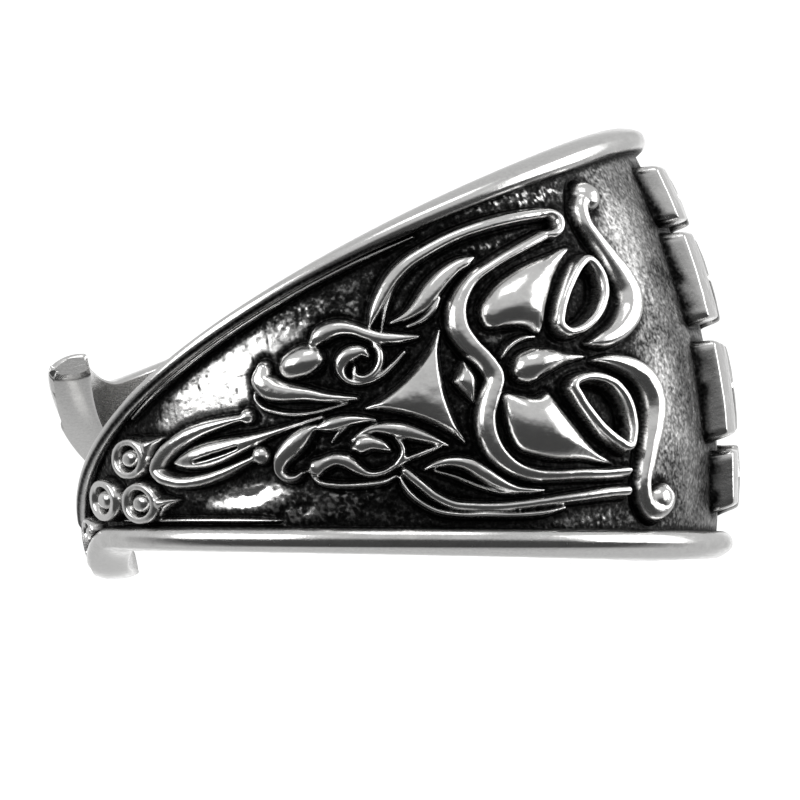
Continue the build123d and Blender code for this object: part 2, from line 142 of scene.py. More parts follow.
# Tones, from 0 for blackened to 1 for polished.
FIELD_TONE = 0.20
FRONT_TONE, FRONT_CALM = 0.16, 0.6
WORN_TONE = 0.95
RAISED_TONE, RAISED_TONE_GRAIN = 0.94, 0.12
CROWN_TONE, CROWN_TONE_GRAIN = 0.86, 0.12
END_TONE, TIP_TONE, CAP_TONE, WALL_TONE = 0.90, 0.88, 0.85, 0.78
HOLLOW_DARK = 0.75

# Where a tone or form sets in: start or end, then the span, in mm, degrees or shares of a height.
FRONT_END = (48, 12)
POLISHED = (0.12, 0.45)
CAVITY = (0.03, 0.09)
CAVITY_REACH = 0.11
CROWN_FOOT = (-0.02, 0.16)
SPECKS = (0.58, 0.14)
RAISED_FROM, LEAST_LIFT = 0.3, 0.02
SPOT_EDGE = 1.3
FIELD_FADE = 0.8

# Blackening beside strokes and rims: the least share of the tone, its start and its span in mm.
BESIDE_STROKES = (0.12, 0.03, 0.45)
BESIDE_RIMS = (0.2, 0.02, 0.30)

# Painted shade: a dark strip under the upper rim, where the rim's shade falls on the field: start, end and
# width, each with its span.
SHADE_STRIP_START, SHADE_STRIP_END, SHADE_STRIP_WIDTH = (74, 8), (142, 6), (0.75, 0.2)
PAINTED_SHADE_DARK = 0.9

# Softened edges, the moat round each stroke, and how far wear takes the grain away.
SOFTENING, BLUR_SPAN = 0.03, 2.5
MOAT_DEPTH, MOAT_REACH = 0.10, 0.16
SMOOTH_WORN, SMOOTH_LOW, SMOOTH_FRONT = 0.85, 0.6, 0.6

# The rim's section, as shares of the walls and of the rim's width, and the end of the band.
EDGE_INNER, EDGE_INSET = 0.32, 0.2
SHOULDER_DROP, SHOULDER_INSET = 0.08, 0.25
TIP_EDGE, TIP_EDGE_LENGTH = 0.12, 0.14

# Rows of points on the parts of a section, and the last row before the field.
END_ROWS, CROWN_ROWS, WALL_ROWS = 9, 16, 14
FIELD_START = END_ROWS + CROWN_ROWS - 2
FRONT_ROWS = 200

# The lengths of each half with the angles between them, and the step between points on each half.
LENGTHS = ("front", "side", "leaf", "tip")
MARKS = [0, 47, 86, 126, TIP_ANGLE]
HALF_STEPS = {"near": 0.045, "far": 0.060}
END_GHOST = 0.001

# The silver's colour by tone, and its roughness where it is blackened and where it is polished.
SILVER_STOPS = [(0, 0.008), (0.2, 0.03), (0.45, 0.20), (0.7, 0.55), (1, 0.88)]
ROUGHNESS = (0.50, 0.18)

# Studio, in metres. Each soft box: azimuth from the camera's side and positive to the right of the
# picture, elevation, width, height, radiance.
BOXES = {
    "left_box": (-62, 16, 0.34, 0.26, 2.6),
    "right_box": (88, 15, 0.34, 0.34, 2.6),
    "top_box": (10, 62, 0.22, 0.16, 2.0),
}
BOX_DISTANCE = 0.40
FLOOR_REACH, FLOOR_TONE, FLOOR_GLOW = 3.0, 0.97, 0.6

# The room's grey from the camera's side to the back and from below to above, and its white at the back.
DEPTH_STOPS = [(-1.0, 0.0), (0.0, 0.0), (0.5, 1.0), (0.85, 1.0)]
RISE_STOPS = [(-1.0, 0.0), (-0.12, 0.0), (0.20, 1.0), (1.0, 1.0)]
WHITE_STOPS = [(-1.0, 0.0), (0.90, 0.0), (0.975, 1.0), (1.0, 1.0)]
ROOM_DARK, ROOM_GREY, ROOM_WHITE = 0.06, 0.58, 1.15

# The camera, in metres and degrees. Places and lengths in the photograph are in its pixels.
CAMERA_DISTANCE = 0.160
CAMERA_DROP = 1.9
PHOTO_SLANT = 12.2
PHOTO_SIZE = 800
RING_AT = (378.5, 407.5)
FOCAL_LENGTH = 4464
SENSOR = 36
CLIP = (0.001, 10)

# Each ridge: height as a share of RIDGE_HEIGHT, then its sections as rows of
# angle, place across the band (-1 lower edge, 1 upper edge), width as a share of RIDGE_WIDTH.
RIDGES = {
    "upper_crest": (1.0, [
        (42.4, 0.74, 0.6), (44.2, 0.7, 0.6), (44.7, 0.62, 0.55), (43.5, 0.53, 0.6), (41.8, 0.43, 0.75),
        (40.2, 0.34, 0.92), (39.4, 0.25, 1.02), (40.4, 0.175, 1.0), (42.8, 0.118, 0.9),
        (45.8, 0.08, 0.76), (48.6, 0.064, 0.6), (50.8, 0.06, 0.3),
    ]),
    "lower_crest": (1.0, [
        (51, -0.024, 0.2), (48.6, -0.034, 0.42), (45.8, -0.055, 0.62), (43, -0.09, 0.76),
        (40.6, -0.14, 0.86), (39.2, -0.205, 0.92), (39, -0.285, 0.9), (40, -0.365, 0.84),
        (41.5, -0.45, 0.76), (42.9, -0.54, 0.68), (44, -0.63, 0.6), (43.8, -0.7, 0.6), (42, -0.75, 0.68),
        (39.6, -0.745, 0.76), (37.9, -0.7, 0.7), (38.6, -0.65, 0.4),
    ]),
    "brow": (1.0, [
        (48, -0.567, 0.4), (53, -0.567, 0.4), (58, -0.56, 0.4), (62.5, -0.556, 0.4), (66.8, -0.54, 0.45),
        (70, -0.495, 0.5), (72.4, -0.415, 0.6), (73.5, -0.3, 0.65), (73.2, -0.2, 0.65), (72, -0.11, 0.65),
        (70.4, -0.01, 0.62), (71.4, 0.08, 0.62), (73.4, 0.18, 0.66), (74.6, 0.29, 0.68),
        (74.3, 0.38, 0.65), (72.8, 0.455, 0.55), (70.2, 0.52, 0.45), (66.2, 0.56, 0.4), (61, 0.592, 0.4),
        (55, 0.618, 0.4),
    ]),
    "brow_turn": (0.95, [
        (54.4, 0.618, 0.38), (52.4, 0.612, 0.44), (51.2, 0.64, 0.48), (51.1, 0.68, 0.48),
        (52.3, 0.712, 0.44), (54.2, 0.722, 0.4),
    ]),
    "brow_arm": (0.9, [
        (53.6, 0.72, 0.4), (59.4, 0.745, 0.42), (65.6, 0.762, 0.42), (71.6, 0.766, 0.42),
        (76.6, 0.75, 0.44), (80.6, 0.724, 0.46), (83.6, 0.675, 0.46), (86, 0.6, 0.42), (87.8, 0.52, 0.32),
        (89, 0.45, 0.1),
    ]),
    "upper_leaf": (0.9, [
        (68.9, 0.622, 0.15), (70.2, 0.618, 0.35), (72.4, 0.61, 0.45), (75, 0.58, 0.55), (77.6, 0.53, 0.6),
        (80, 0.475, 0.5), (82.4, 0.44, 0.3), (85.4, 0.43, 0.12),
    ]),
    "upper_leaf_edge": (0.6, [
        (82.8, 0.38, 0.12), (80.4, 0.387, 0.2), (78, 0.425, 0.25), (76.6, 0.475, 0.2),
    ]),
    "upper_hook": (0.9, [
        (98.9, 0.49, 0.3), (98, 0.508, 0.5), (96.2, 0.525, 0.55), (94, 0.515, 0.5), (91.8, 0.475, 0.42),
        (89.8, 0.42, 0.4), (87.4, 0.365, 0.42), (84.6, 0.33, 0.34), (81.4, 0.305, 0.14),
    ]),
    "upper_curl": (0.9, [
        (90.3, 0.29, 0.2), (90.9, 0.32, 0.35), (92.4, 0.335, 0.5), (94.2, 0.325, 0.5), (95.2, 0.27, 0.36),
        (94.9, 0.205, 0.24), (93.5, 0.155, 0.2), (91.5, 0.135, 0.18), (89.2, 0.145, 0.18),
        (86.6, 0.19, 0.18), (84.2, 0.245, 0.14),
    ]),
    "inner_curl": (0.8, [
        (88.8, 0.34, 0.2), (88.2, 0.29, 0.26), (88.6, 0.225, 0.26), (89.9, 0.178, 0.24),
        (91.6, 0.165, 0.22), (93, 0.195, 0.22), (92.8, 0.25, 0.15),
    ]),
    "bud_hook": (1.0, [
        (108.4, 0.47, 0.5), (108.9, 0.4, 0.78), (108.1, 0.325, 0.84), (106.2, 0.263, 0.74),
        (104, 0.22, 0.62), (101.6, 0.178, 0.5), (99.2, 0.13, 0.4), (96.6, 0.09, 0.3), (93.6, 0.055, 0.18),
    ]),
    "long_loop": (0.9, [
        (113.6, 0.175, 0.2), (115.5, 0.19, 0.25), (118.5, 0.21, 0.34), (122, 0.23, 0.42),
        (126, 0.235, 0.5), (130, 0.21, 0.52), (133, 0.15, 0.52), (134.5, 0.07, 0.5), (133.5, -0.03, 0.5),
        (131.3, -0.115, 0.45), (128.5, -0.175, 0.42), (125.5, -0.203, 0.4), (122, -0.208, 0.36),
        (118.5, -0.192, 0.3), (116, -0.172, 0.25), (113, -0.15, 0.2),
    ]),
    "long_leaf": (0.8, [
        (130, 0.048, 0.15), (128.6, 0.035, 0.4), (126.4, 0.02, 0.62), (123.6, 0.005, 0.75),
        (120.4, -0.005, 0.74), (117, -0.01, 0.6), (113.5, -0.012, 0.42), (110, -0.01, 0.28),
        (106, -0.005, 0.18), (100, 0, 0.12),
    ]),
    "lower_hook": (1.0, [
        (105.4, -0.345, 0.15), (106.8, -0.372, 0.26), (108.5, -0.355, 0.3), (109.3, -0.295, 0.36),
        (108.6, -0.225, 0.5), (106.9, -0.165, 0.62), (104.8, -0.115, 0.6), (102.9, -0.075, 0.42),
        (101.3, -0.05, 0.15),
    ]),
    "small_leaf": (0.8, [
        (101.1, -0.067, 0.2), (100, -0.067, 0.35), (95, -0.07, 0.34), (93, -0.085, 0.22),
        (91.2, -0.103, 0.1),
    ]),
    "lower_leaf": (0.9, [
        (96, -0.2, 0.12), (94, -0.168, 0.22), (91.8, -0.155, 0.3), (89.6, -0.17, 0.42), (87.4, -0.2, 0.5),
        (85, -0.24, 0.42), (82.6, -0.285, 0.28), (80.2, -0.333, 0.1),
    ]),
    "lower_bud": (1.0, [
        (95.9, -0.245, 0.2), (95, -0.242, 0.5), (93.6, -0.235, 0.55), (92, -0.25, 0.42),
        (90.8, -0.275, 0.35), (90, -0.3, 0.15),
    ]),
    "lower_arc": (0.7, [
        (89, -0.215, 0.1), (88.1, -0.26, 0.18), (87.8, -0.315, 0.2), (88.4, -0.36, 0.2),
        (89.5, -0.385, 0.12),
    ]),
    "teardrop": (0.9, [
        (104.2, -0.34, 0.2), (103.4, -0.335, 0.5), (101.4, -0.31, 0.45), (99.2, -0.297, 0.42),
        (97.4, -0.325, 0.45), (96, -0.38, 0.36), (94.2, -0.428, 0.22), (91.8, -0.43, 0.2),
        (89.6, -0.4, 0.2), (87.4, -0.372, 0.2), (84.8, -0.352, 0.2), (81.4, -0.327, 0.1),
    ]),
    "teardrop_line": (0.7, [
        (104, -0.365, 0.12), (103, -0.425, 0.18), (100.4, -0.466, 0.2), (97.2, -0.486, 0.2),
        (94, -0.494, 0.2), (91.8, -0.49, 0.2), (90, -0.465, 0.12),
    ]),
    "tendril_leaf": (0.9, [
        (85, -0.445, 0.1), (82.8, -0.425, 0.25), (80.2, -0.422, 0.34), (77.6, -0.45, 0.42),
        (75.4, -0.505, 0.45), (73.2, -0.56, 0.4), (70.6, -0.602, 0.28), (67.4, -0.619, 0.2),
        (65, -0.622, 0.1),
    ]),
    "tendril": (0.8, [
        (88.3, -0.44, 0.25), (87.4, -0.48, 0.3), (86.2, -0.53, 0.3), (84.2, -0.605, 0.3),
        (81.6, -0.66, 0.3), (78, -0.682, 0.3), (73.2, -0.692, 0.3), (66.8, -0.683, 0.3),
        (62, -0.673, 0.34), (57.6, -0.665, 0.36), (53, -0.656, 0.38), (48.4, -0.654, 0.38),
    ]),
    "tendril_line": (0.7, [
        (89.3, -0.47, 0.12), (88.7, -0.55, 0.2), (87, -0.63, 0.2), (84.3, -0.695, 0.2), (81, -0.722, 0.2),
        (76.4, -0.731, 0.2), (70, -0.741, 0.2), (65.4, -0.735, 0.2), (61.5, -0.715, 0.12),
    ]),
}

# Each eye: angle and place across, along the middle of its raised edge, which goes once round.
EYES = {
    "upper_eye": [
        (48, 0.45), (46.3, 0.39), (46.2, 0.3), (47.9, 0.222), (50.8, 0.162), (53.6, 0.135), (56, 0.138),
        (57, 0.172), (56.3, 0.24), (54.4, 0.32), (51.8, 0.395), (49.8, 0.435),
    ],
    "lower_eye": [
        (57, -0.12), (54.8, -0.098), (51.6, -0.11), (48.8, -0.15), (46.8, -0.225), (46.1, -0.315),
        (46.4, -0.39), (47.6, -0.45), (49.8, -0.42), (52.4, -0.36), (54.8, -0.27), (56.4, -0.185),
    ],
}

# Concentric bosses: angle, place across, reach along and across as shares of RIDGE_WIDTH.
TARGETS = [
    (141.2, 0.37, 0.98, 0.7),
    (140.9, -0.215, 1.0, 0.72),
    (153.4, 0.13, 1.1, 0.74),
    (166.2, 0.03, 0.9, 0.5),
]

# Small balls: angle, place across, radius as a share of RIDGE_WIDTH.
BALLS = [(113.2, 0.178, 0.29), (112.2, -0.147, 0.35), (41.6, 0.737, 0.5)]

# Thin lines just inside a rim: 1 for the upper rim or -1 for the lower, first and last angle,
# height share.
RIM_LINES = [(1, 78, 140, 1), (-1, 112, 150, 0.5)]

# Flat plates: height share, corners (angle, place across, bow of the side after it).
PLATES = [
    (0.85, [(77.6, 0.31, 0.3), (77.2, -0.33, 0.25), (92.6, -0.02, 0.3)]),
    (0.75, [(73.3, 0.01, -0.03), (74.6, -0.12, -0.03), (77.2, 0.01, -0.03), (74.8, 0.11, -0.03)]),
]

# Flat-topped tiles on the front. Each outline's corners: angle, place across. Each outline is there
# twice, the second after half a turn.
TILES = {
    "top_tile": [(20.5, 0.505), (19.5, 0.765), (9.5, 0.765), (9.5, 0.505)],
    "low_tile": [(9.5, -0.515), (18, -0.515), (17, -0.76), (9.5, -0.76)],
    "lozenge": [(6.5, 0.635), (0, 0.79), (-6.5, 0.635), (0, 0.48)],
    "wide_tile": [(22.5, 0.055), (21.5, 0.455), (11.5, 0.455), (11.5, 0.055)],
    "low_wide_tile": [(22.5, -0.03), (11.5, -0.055), (11.5, -0.455), (21.5, -0.455)],
    "wide_lozenge": [(9, 0.245), (0, 0.455), (-9, 0.245), (0, 0.035)],
}

# Thin lines beside the ridges, as height share and rows of the same columns.
FINE_LINES = [
    (0.55, [(68.2, 0.08, 0.12), (66.6, 0.127, 0.22), (64, 0.153, 0.22), (61.4, 0.147, 0.12)]),
    (0.55, [(87.1, 0.407, 0.1), (86.3, 0.48, 0.18), (84.7, 0.573, 0.18), (82.8, 0.64, 0.18),
            (79.6, 0.693, 0.16), (76.4, 0.713, 0.1)]),
    (0.55, [(110.2, 0.37, 0.1), (110.9, 0.29, 0.18), (110, 0.205, 0.2), (107.8, 0.135, 0.22),
            (105, 0.08, 0.22), (102, 0.05, 0.18), (98.8, 0.04, 0.15), (95, 0.04, 0.08)]),
    (0.5, [(99.4, -0.18, 0.1), (97.8, -0.133, 0.16), (95.6, -0.1, 0.1)]),
    (0.55, [(83.4, -0.46, 0.1), (80.2, -0.507, 0.16), (76.4, -0.573, 0.18), (73.2, -0.613, 0.16),
            (70, -0.633, 0.1)]),
]

# Fine grooves in what is raised, as depth share and rows of the same columns.
GROOVES = [
    (0.45, [(125, -0.02, 0.1), (122, -0.028, 0.16), (119, -0.032, 0.16), (116, -0.03, 0.1)]),
]

# Smooth domes: height share, then places round the outline.
MOUNDS = {
    "upper_lobe": (1.25, [
        (48.8, 0.528), (52.4, 0.468), (55.6, 0.39), (58.2, 0.28), (60.6, 0.155), (62.6, 0.198),
        (66, 0.226), (69.8, 0.252), (70.3, 0.34), (67.4, 0.44), (63, 0.495), (55, 0.525),
    ]),
    "lower_lobe": (1.25, [
        (49.2, -0.528), (53.9, -0.44), (57.4, -0.32), (59.8, -0.21), (61.4, -0.13), (63.8, -0.146),
        (66.4, -0.12), (69, -0.1), (69.9, -0.24), (68.6, -0.4), (64, -0.465), (56, -0.495),
    ]),
    "nose": (1.3, [
        (51.6, 0.002), (56.6, 0.042), (60, 0.084), (63, 0.1), (65.6, 0.08), (66.9, 0.03), (66.8, -0.04),
        (65, -0.078), (61.5, -0.056), (57, -0.018),
    ]),
    "upper_bud": (1.15, [
        (105.9, 0.4), (105.1, 0.48), (102.8, 0.515), (100, 0.5), (97.9, 0.445), (97.3, 0.37),
        (98.9, 0.302), (101.8, 0.29), (104.7, 0.325),
    ]),
}

# The ridges are worn fuller than they were cut, by a factor on the width that some of them have for
# themselves. The crest of some leans to one side.
FULLER = 1.28
FULLER_AS_NAMED = {
    "upper_crest": 1.06, "lower_crest": 1.06, "brow": 1.14, "brow_turn": 1.0, "bud_hook": 1.12,
}
EYE_FULLER = 1.55
LEAN = {"brow": 0.35}

# Round ends of the two crests, with the columns of BALLS.
KNOBS = [(41.7, 0.735, 0.58), (39.6, -0.705, 0.56)]

# Flat tails beside two of the bosses: height share, then corners as in PLATES.
TAILS = [
    (0.7, [(137.5, 0.5, 0), (132.4, 0.36, 0.03), (136.4, 0.2, 0.03)]),
    (0.7, [(137, -0.17, 0), (131.8, -0.32, 0.03), (137, -0.4, 0.03)]),
]

# Worn, brighter places on the field: angle, place across, reach round the ring and up in mm, amount.
WORN = [
    (118, 0.42, 2.2, 1.4, 1.15),
    (108, 0.6, 1.9, 0.7, 0.75),
    (128, 0.36, 1.2, 0.8, 0.8),
    (117, -0.46, 1.7, 0.5, 1.05),
    (104, -0.62, 1.0, 0.3, 0.3),
    (33, 0.45, 1.3, 2.5, 0.16),
    (32, -0.3, 1.1, 2.5, 0.14),
]

# Shallow dents in the field, with the same columns, the last one their depth in mm.
DENTS = [(117, -0.37, 1.8, 0.55, 0.11)]

# Places of scattered bright specks, with the same columns.
SPECKLED = [
    (58, 0.835, 2.6, 0.3, 0.8),
    (60, -0.8, 2.0, 0.22, 0.5),
    (98, 0.66, 2.2, 0.6, 0.5),
    (104, -0.6, 2.4, 0.5, 0.5),
    (66, 0.655, 1.0, 0.14, 0.6),
]


# The map: one value for each place on the near half's outer face, a fine square raster of the
# distance round the ring, x, and the height along the finger hole, y. t is the angle of x, and
# across is a place between the ornament's lower edge, -1, and its upper edge, 1.

def ease(x):
    x = np.clip(x, 0, 1)
    return x * x * (3 - 2 * x)


def rising(value, start, span):
    """From 0 at the start to 1 a span later."""
    return ease((value - start) / span)


def falling(value, end, span):
    """From 1 a span before the end to 0 at the end."""
    return ease((end - value) / span)


def wedge(t):
    return SIDE_HEIGHT / 2 + RIM_RADIUS * np.tan(radians(TAPER_ANGLE)) * np.cos(np.radians(t))


def lower(t):
    return -wedge(t) - TIP_FLARE * rising(t, FLARE_FROM, FLARE_SPAN)


def upper(t):
    drop = wedge(TIP_ANGLE) - lower(TIP_ANGLE) - TIP_HEIGHT
    return wedge(t) - drop * np.clip((t - SWEEP_FROM) / (TIP_ANGLE - SWEEP_FROM), 0, None) ** SWEEP_POWER


def rim_upper(t):
    return RIM_WIDTH * (1 - RIM_THINNING * rising(t, THIN_RIM_FROM, THIN_RIM_SPAN))


def field_edges(t):
    return lower(t) + RIM_WIDTH, upper(t) - rim_upper(t)


def field_radius(t, w):
    a, b = field_edges(t)
    half = np.maximum(b - a, 0) / 2
    x = np.minimum(np.abs(w - (a + b) / 2), half)
    return FIELD_RADIUS + (half**2 - x**2) / (2 * DOME_RADIUS)


def along(t):
    return FIELD_RADIUS * np.radians(t)


def height_at(t, across):
    reach = ORNAMENT_REACH * (upper(t) - lower(t)) / 2
    drop = ORNAMENT_DROP + BACK_DROP * rising(t, BACK_DROP_FROM, BACK_DROP_SPAN)
    return (upper(t) + lower(t)) / 2 + across * reach - drop


def path_of(rows):
    """A smooth curve through the rows: distance round, height and half width at close steps."""
    closed = rows[0] == rows[-1]
    if closed:
        rows = rows[-4:-1] + rows + rows[1:4]
    t, across, wide = np.array(rows, float).T
    knots = np.array([along(t), height_at(t, across), wide * RIDGE_WIDTH / 2])
    u = np.concatenate([[0], np.cumsum(np.hypot(*np.diff(knots[:2])))])
    slope = np.gradient(knots, u, axis=1)
    first, last = (u[3], u[-4]) if closed else (0, u[-1])
    at = np.linspace(first, last, int((last - first) / PATH_STEP) + 3)
    i = np.clip(np.searchsorted(u, at, side="right") - 1, 0, len(u) - 2)
    h = u[i + 1] - u[i]
    f = (at - u[i]) / h
    start = knots[:, i] * (1 + 2 * f) * (1 - f) ** 2 + slope[:, i] * h * f * (1 - f) ** 2
    end = knots[:, i + 1] * f**2 * (3 - 2 * f) + slope[:, i + 1] * h * f**2 * (f - 1)
    return start + end


def to_path(x, y, path):
    """For each point: distance to the path, half width there, and side of it."""
    ax, ay = path[0, :-1], path[1, :-1]
    dx, dy = np.diff(path[0]), np.diff(path[1])
    size = dx * dx + dy * dy + TINY
    out = np.empty((3, len(x)))
    for k in range(0, len(x), BATCH):
        px, py = x[k:k + BATCH, None] - ax, y[k:k + BATCH, None] - ay
        f = np.clip((px * dx + py * dy) / size, 0, 1)
        d = (px - f * dx) ** 2 + (py - f * dy) ** 2
        i = d.argmin(1)
        row = np.arange(len(i))
        f = f[row, i]
        turn = dx[i] * py[row, i] - dy[i] * px[row, i]
        wide = path[2, i] * (1 - f) + path[2, i + 1] * f
        out[:, k:k + BATCH] = np.sqrt(d[row, i]), wide, np.sign(turn)
    return out


def in_outline(x, y, outline):
    """Distance to the outline, positive inside it."""
    a = np.array(outline, float)
    b = np.roll(a, -1, 0)
    d = b - a
    px, py = x[:, None] - a[:, 0], y[:, None] - a[:, 1]
    f = np.clip((px * d[:, 0] + py * d[:, 1]) / (d**2).sum(1), 0, 1)
    near = np.sqrt(((px - f * d[:, 0]) ** 2 + (py - f * d[:, 1]) ** 2).min(1))
    over = (a[:, 1] > y[:, None]) != (b[:, 1] > y[:, None])
    slant = np.where(np.abs(d[:, 1]) < LEVEL, LEVEL, d[:, 1])
    crossed = over & (px < py * d[:, 0] / slant)
    return np.where(crossed.sum(1) % 2, near, -near)


def rounded(corners, radius, steps=5):
    """The outline with each corner as an arc."""
    p = np.array(corners, float)
    out = []
    for i in range(len(p)):
        a, b = p[i - 1] - p[i], p[(i + 1) % len(p)] - p[i]
        a, b = a / np.hypot(*a), b / np.hypot(*b)
        half = np.arccos(np.clip(a @ b, -1, 1)) / 2
        cut = radius / np.tan(half)
        for f in np.linspace(0, 1, steps + 1):
            out.append(p[i] + cut * (a * (1 - f) ** 2 + b * f**2))
    return out


def bowed(points, steps=9):
    """The outline with sides that bow towards its middle. Each point has the bow of the side after it."""
    mx, my = np.mean([p[:2] for p in points], 0)
    out = []
    for (x, y, bow), (u, v, _) in zip(points, points[1:] + points[:1]):
        cx, cy = mx - (x + u) / 2, my - (y + v) / 2
        size = np.hypot(cx, cy)
        for f in np.linspace(0, 1, steps + 1)[:-1]:
            pull = bow * 4 * f * (1 - f) / size
            out.append((x + (u - x) * f + cx * pull, y + (v - y) * f + cy * pull))
    return out


def crest(u, flank, top):
    """From 0 where u is 1 to 1 where u is 0, with powers for the flank and the top."""
    return np.clip(1 - u**flank, 0, 1) ** top


def dome_over(gap, shape):
    """The form of a film blown up over an outline, from 0 at the outline to 1 at its highest."""
    inside = (gap > 0).reshape(shape)[1:-1, 1:-1]
    dome = np.zeros(shape)
    for _ in range(DOME_ROUNDS):
        around = dome[2:, 1:-1] + dome[:-2, 1:-1] + dome[1:-1, 2:] + dome[1:-1, :-2]
        dome[1:-1, 1:-1] = inside * (around / 4 + 1)
    return (dome / dome.max()).ravel()


class Relief:
    """The ornament on the raster: height, its share of the stroke's own, gap to a stroke, hollows, tone."""

    def __init__(self):
        self.x = np.arange(-MAP_BEFORE, along(TIP_ANGLE) + MAP_AFTER, PITCH)
        self.y = np.arange(-MAP_REACH, MAP_REACH, PITCH)
        shape = (len(self.x), len(self.y))
        self.high = np.zeros(shape)
        self.lift = np.zeros(shape)
        self.gap = np.full(shape, FAR_GAP)
        self.dark = np.zeros(shape)
        self.tone = np.zeros(shape)

    def window(self, x, y, margin=MARGIN):
        """The part of the raster round some places, as slices and as the points in it."""
        i = slice(*np.searchsorted(self.x, (np.min(x) - margin, np.max(x) + margin)))
        j = slice(*np.searchsorted(self.y, (np.min(y) - margin, np.max(y) + margin)))
        x, y = np.meshgrid(self.x[i], self.y[j], indexing="ij")
        return (i, j), x.ravel(), y.ravel()

    def raise_to(self, at, high, lift, gap):
        shape = self.high[at].shape
        high, lift, gap = high.reshape(shape), lift.reshape(shape), gap.reshape(shape)
        wins = high > self.high[at]
        self.high[at] = np.where(wins, high, self.high[at])
        self.lift[at] = np.where(wins, lift, self.lift[at])
        self.gap[at] = np.minimum(self.gap[at], gap)

    def ridge(self, rows, high, flank=STROKE_FLANK, lean=0.0):
        """A raised stroke. lean moves its crest to one side, from -1 to 1."""
        path = path_of(rows)
        widest = path[2].max()
        at, x, y = self.window(path[0], path[1], MARGIN + widest)
        d, half, side = to_path(x, y, path)
        u = side * d / np.maximum(half, LEAST_HALF)
        u = np.where(u > lean, (u - lean) / (1 - lean), (lean - u) / (1 + lean))
        rise = crest(np.clip(u, 0, 1), flank, STROKE_TOP)
        top = high * (0.5 + 0.5 * half / widest)
        self.raise_to(at, top * rise, rise, d - half)

    def outlined(self, places):
        """The raster round a smooth closed outline through the places, and the distance into it."""
        path = path_of([(t, across, 0) for t, across in places + places[:1]])
        at, x, y = self.window(path[0], path[1])
        return at, in_outline(x, y, path[:2, :-1].T)

    def mound(self, places, high):
        """A smooth dome over an outline, highest where the outline is widest."""
        at, gap = self.outlined(places)
        rise = np.sqrt(dome_over(gap, self.high[at].shape))
        self.raise_to(at, high * rise, rising(rise, 0, MOUND_FOOT), -gap)

    def sink(self, places, depth):
        """A dark hollow inside an outline."""
        at, gap = self.outlined(places)
        inside = rising(gap, 0, EYE_SLOPE).reshape(self.high[at].shape)
        self.high[at] = self.high[at] - depth * inside
        self.dark[at] = np.maximum(self.dark[at], inside)

    def groove(self, rows, depth):
        """A fine line cut into what is raised there."""
        path = path_of(rows)
        at, x, y = self.window(path[0], path[1], GROOVE_MARGIN)
        d, half, _ = to_path(x, y, path)
        cut = np.clip(1 - d / np.maximum(half, LEAST_HALF), 0, 1).reshape(self.high[at].shape)
        self.high[at] -= depth * cut
        self.lift[at] *= 1 - ease(cut * GROOVE_DARK)

    def disc(self, t, across, reach_along, reach_across):
        """The raster round an ellipse, and each point's distance from its middle, 1 at its edge."""
        x0, y0 = along(t), height_at(t, across)
        at, x, y = self.window((x0 - reach_along, x0 + reach_along), (y0 - reach_across, y0 + reach_across))
        return at, np.hypot((x - x0) / reach_along, (y - y0) / reach_across)

    def boss(self, t, across, share_along, share_across, high):
        """Outer ring, groove and inner dot."""
        a, b = share_along * RIDGE_WIDTH, share_across * RIDGE_WIDTH
        at, e = self.disc(t, across, a, b)
        ring = crest(np.abs((e - BOSS_RING) / BOSS_RING_HALF), BOSS_FLANK, ROUND_TOP)
        dot = crest(e / BOSS_DOT, BOSS_FLANK, ROUND_TOP)
        rise = np.maximum(ring, dot * BOSS_DOT_SHARE)
        self.raise_to(at, high * rise, rise, (e - 1) * min(a, b))

    def dot(self, t, across, share, high, flank, top):
        """A small round form: a ball, or the blunt end of a stroke."""
        r = share * RIDGE_WIDTH
        at, e = self.disc(t, across, r, r)
        rise = crest(e, flank, top)
        self.raise_to(at, high * rise, rise, (e - 1) * r)

    def plate(self, high, corners, bevel):
        """A raised, slightly crowned flat with sides that bow inwards."""
        outline = bowed([(along(t), height_at(t, across), bow * RIDGE_WIDTH) for t, across, bow in corners])
        at, x, y = self.window(*np.array(outline).T)
        gap = in_outline(x, y, outline)
        top = PLATE_SIDE + PLATE_RISE * rising(gap, 0, bevel)
        top = top + PLATE_CROWN * dome_over(gap, self.high[at].shape)
        rise = np.where(gap > 0, top, rising(gap, -PLATE_FOOT, PLATE_FOOT) * PLATE_SIDE)
        self.raise_to(at, high * rise, rising(rise, 0, 0.6), -gap)

    def tile(self, corners):
        """A flat-topped tile on the front, and the same after half a turn."""
        reach = ORNAMENT_REACH * wedge(0)
        flat = [(FIELD_RADIUS * sin(radians(t)), across * reach) for t, across in corners]
        for sign in (1, -1):
            outline = rounded([(sign * x, sign * y) for x, y in flat], TILE_CORNER)
            xs, ys = np.array(outline).T
            at, x, y = self.window((xs.min(), xs.max() + TILE_SPREAD), ys)
            t = np.degrees(x / FIELD_RADIUS)
            top = field_radius(t, y) + TILE_HEIGHT
            gap = in_outline(top * np.sin(np.radians(t)), y, outline)
            edge = np.clip(gap / TILE_EDGE, 0, 1)
            rounding = TILE_SIDE + TILE_ROUND * np.sqrt(1 - (1 - edge) ** 2)
            rise = np.where(gap > 0, rounding, rising(gap, -TILE_FOOT, TILE_FOOT) * TILE_SIDE)
            self.raise_to(at, TILE_HEIGHT * rise, rising(rise, 0.15, 0.25), -gap)

    def sample(self, grid, x, y):
        """A map's value at any places."""
        u, v = (x - self.x[0]) / PITCH, (y - self.y[0]) / PITCH
        i = np.clip(u.astype(int), 0, len(self.x) - 2)
        j = np.clip(v.astype(int), 0, len(self.y) - 2)
        f, g = np.clip(u - i, 0, 1), np.clip(v - j, 0, 1)
        a = grid[i, j] * (1 - f) + grid[i + 1, j] * f
        b = grid[i, j + 1] * (1 - f) + grid[i + 1, j + 1] * f
        return a * (1 - g) + b * g


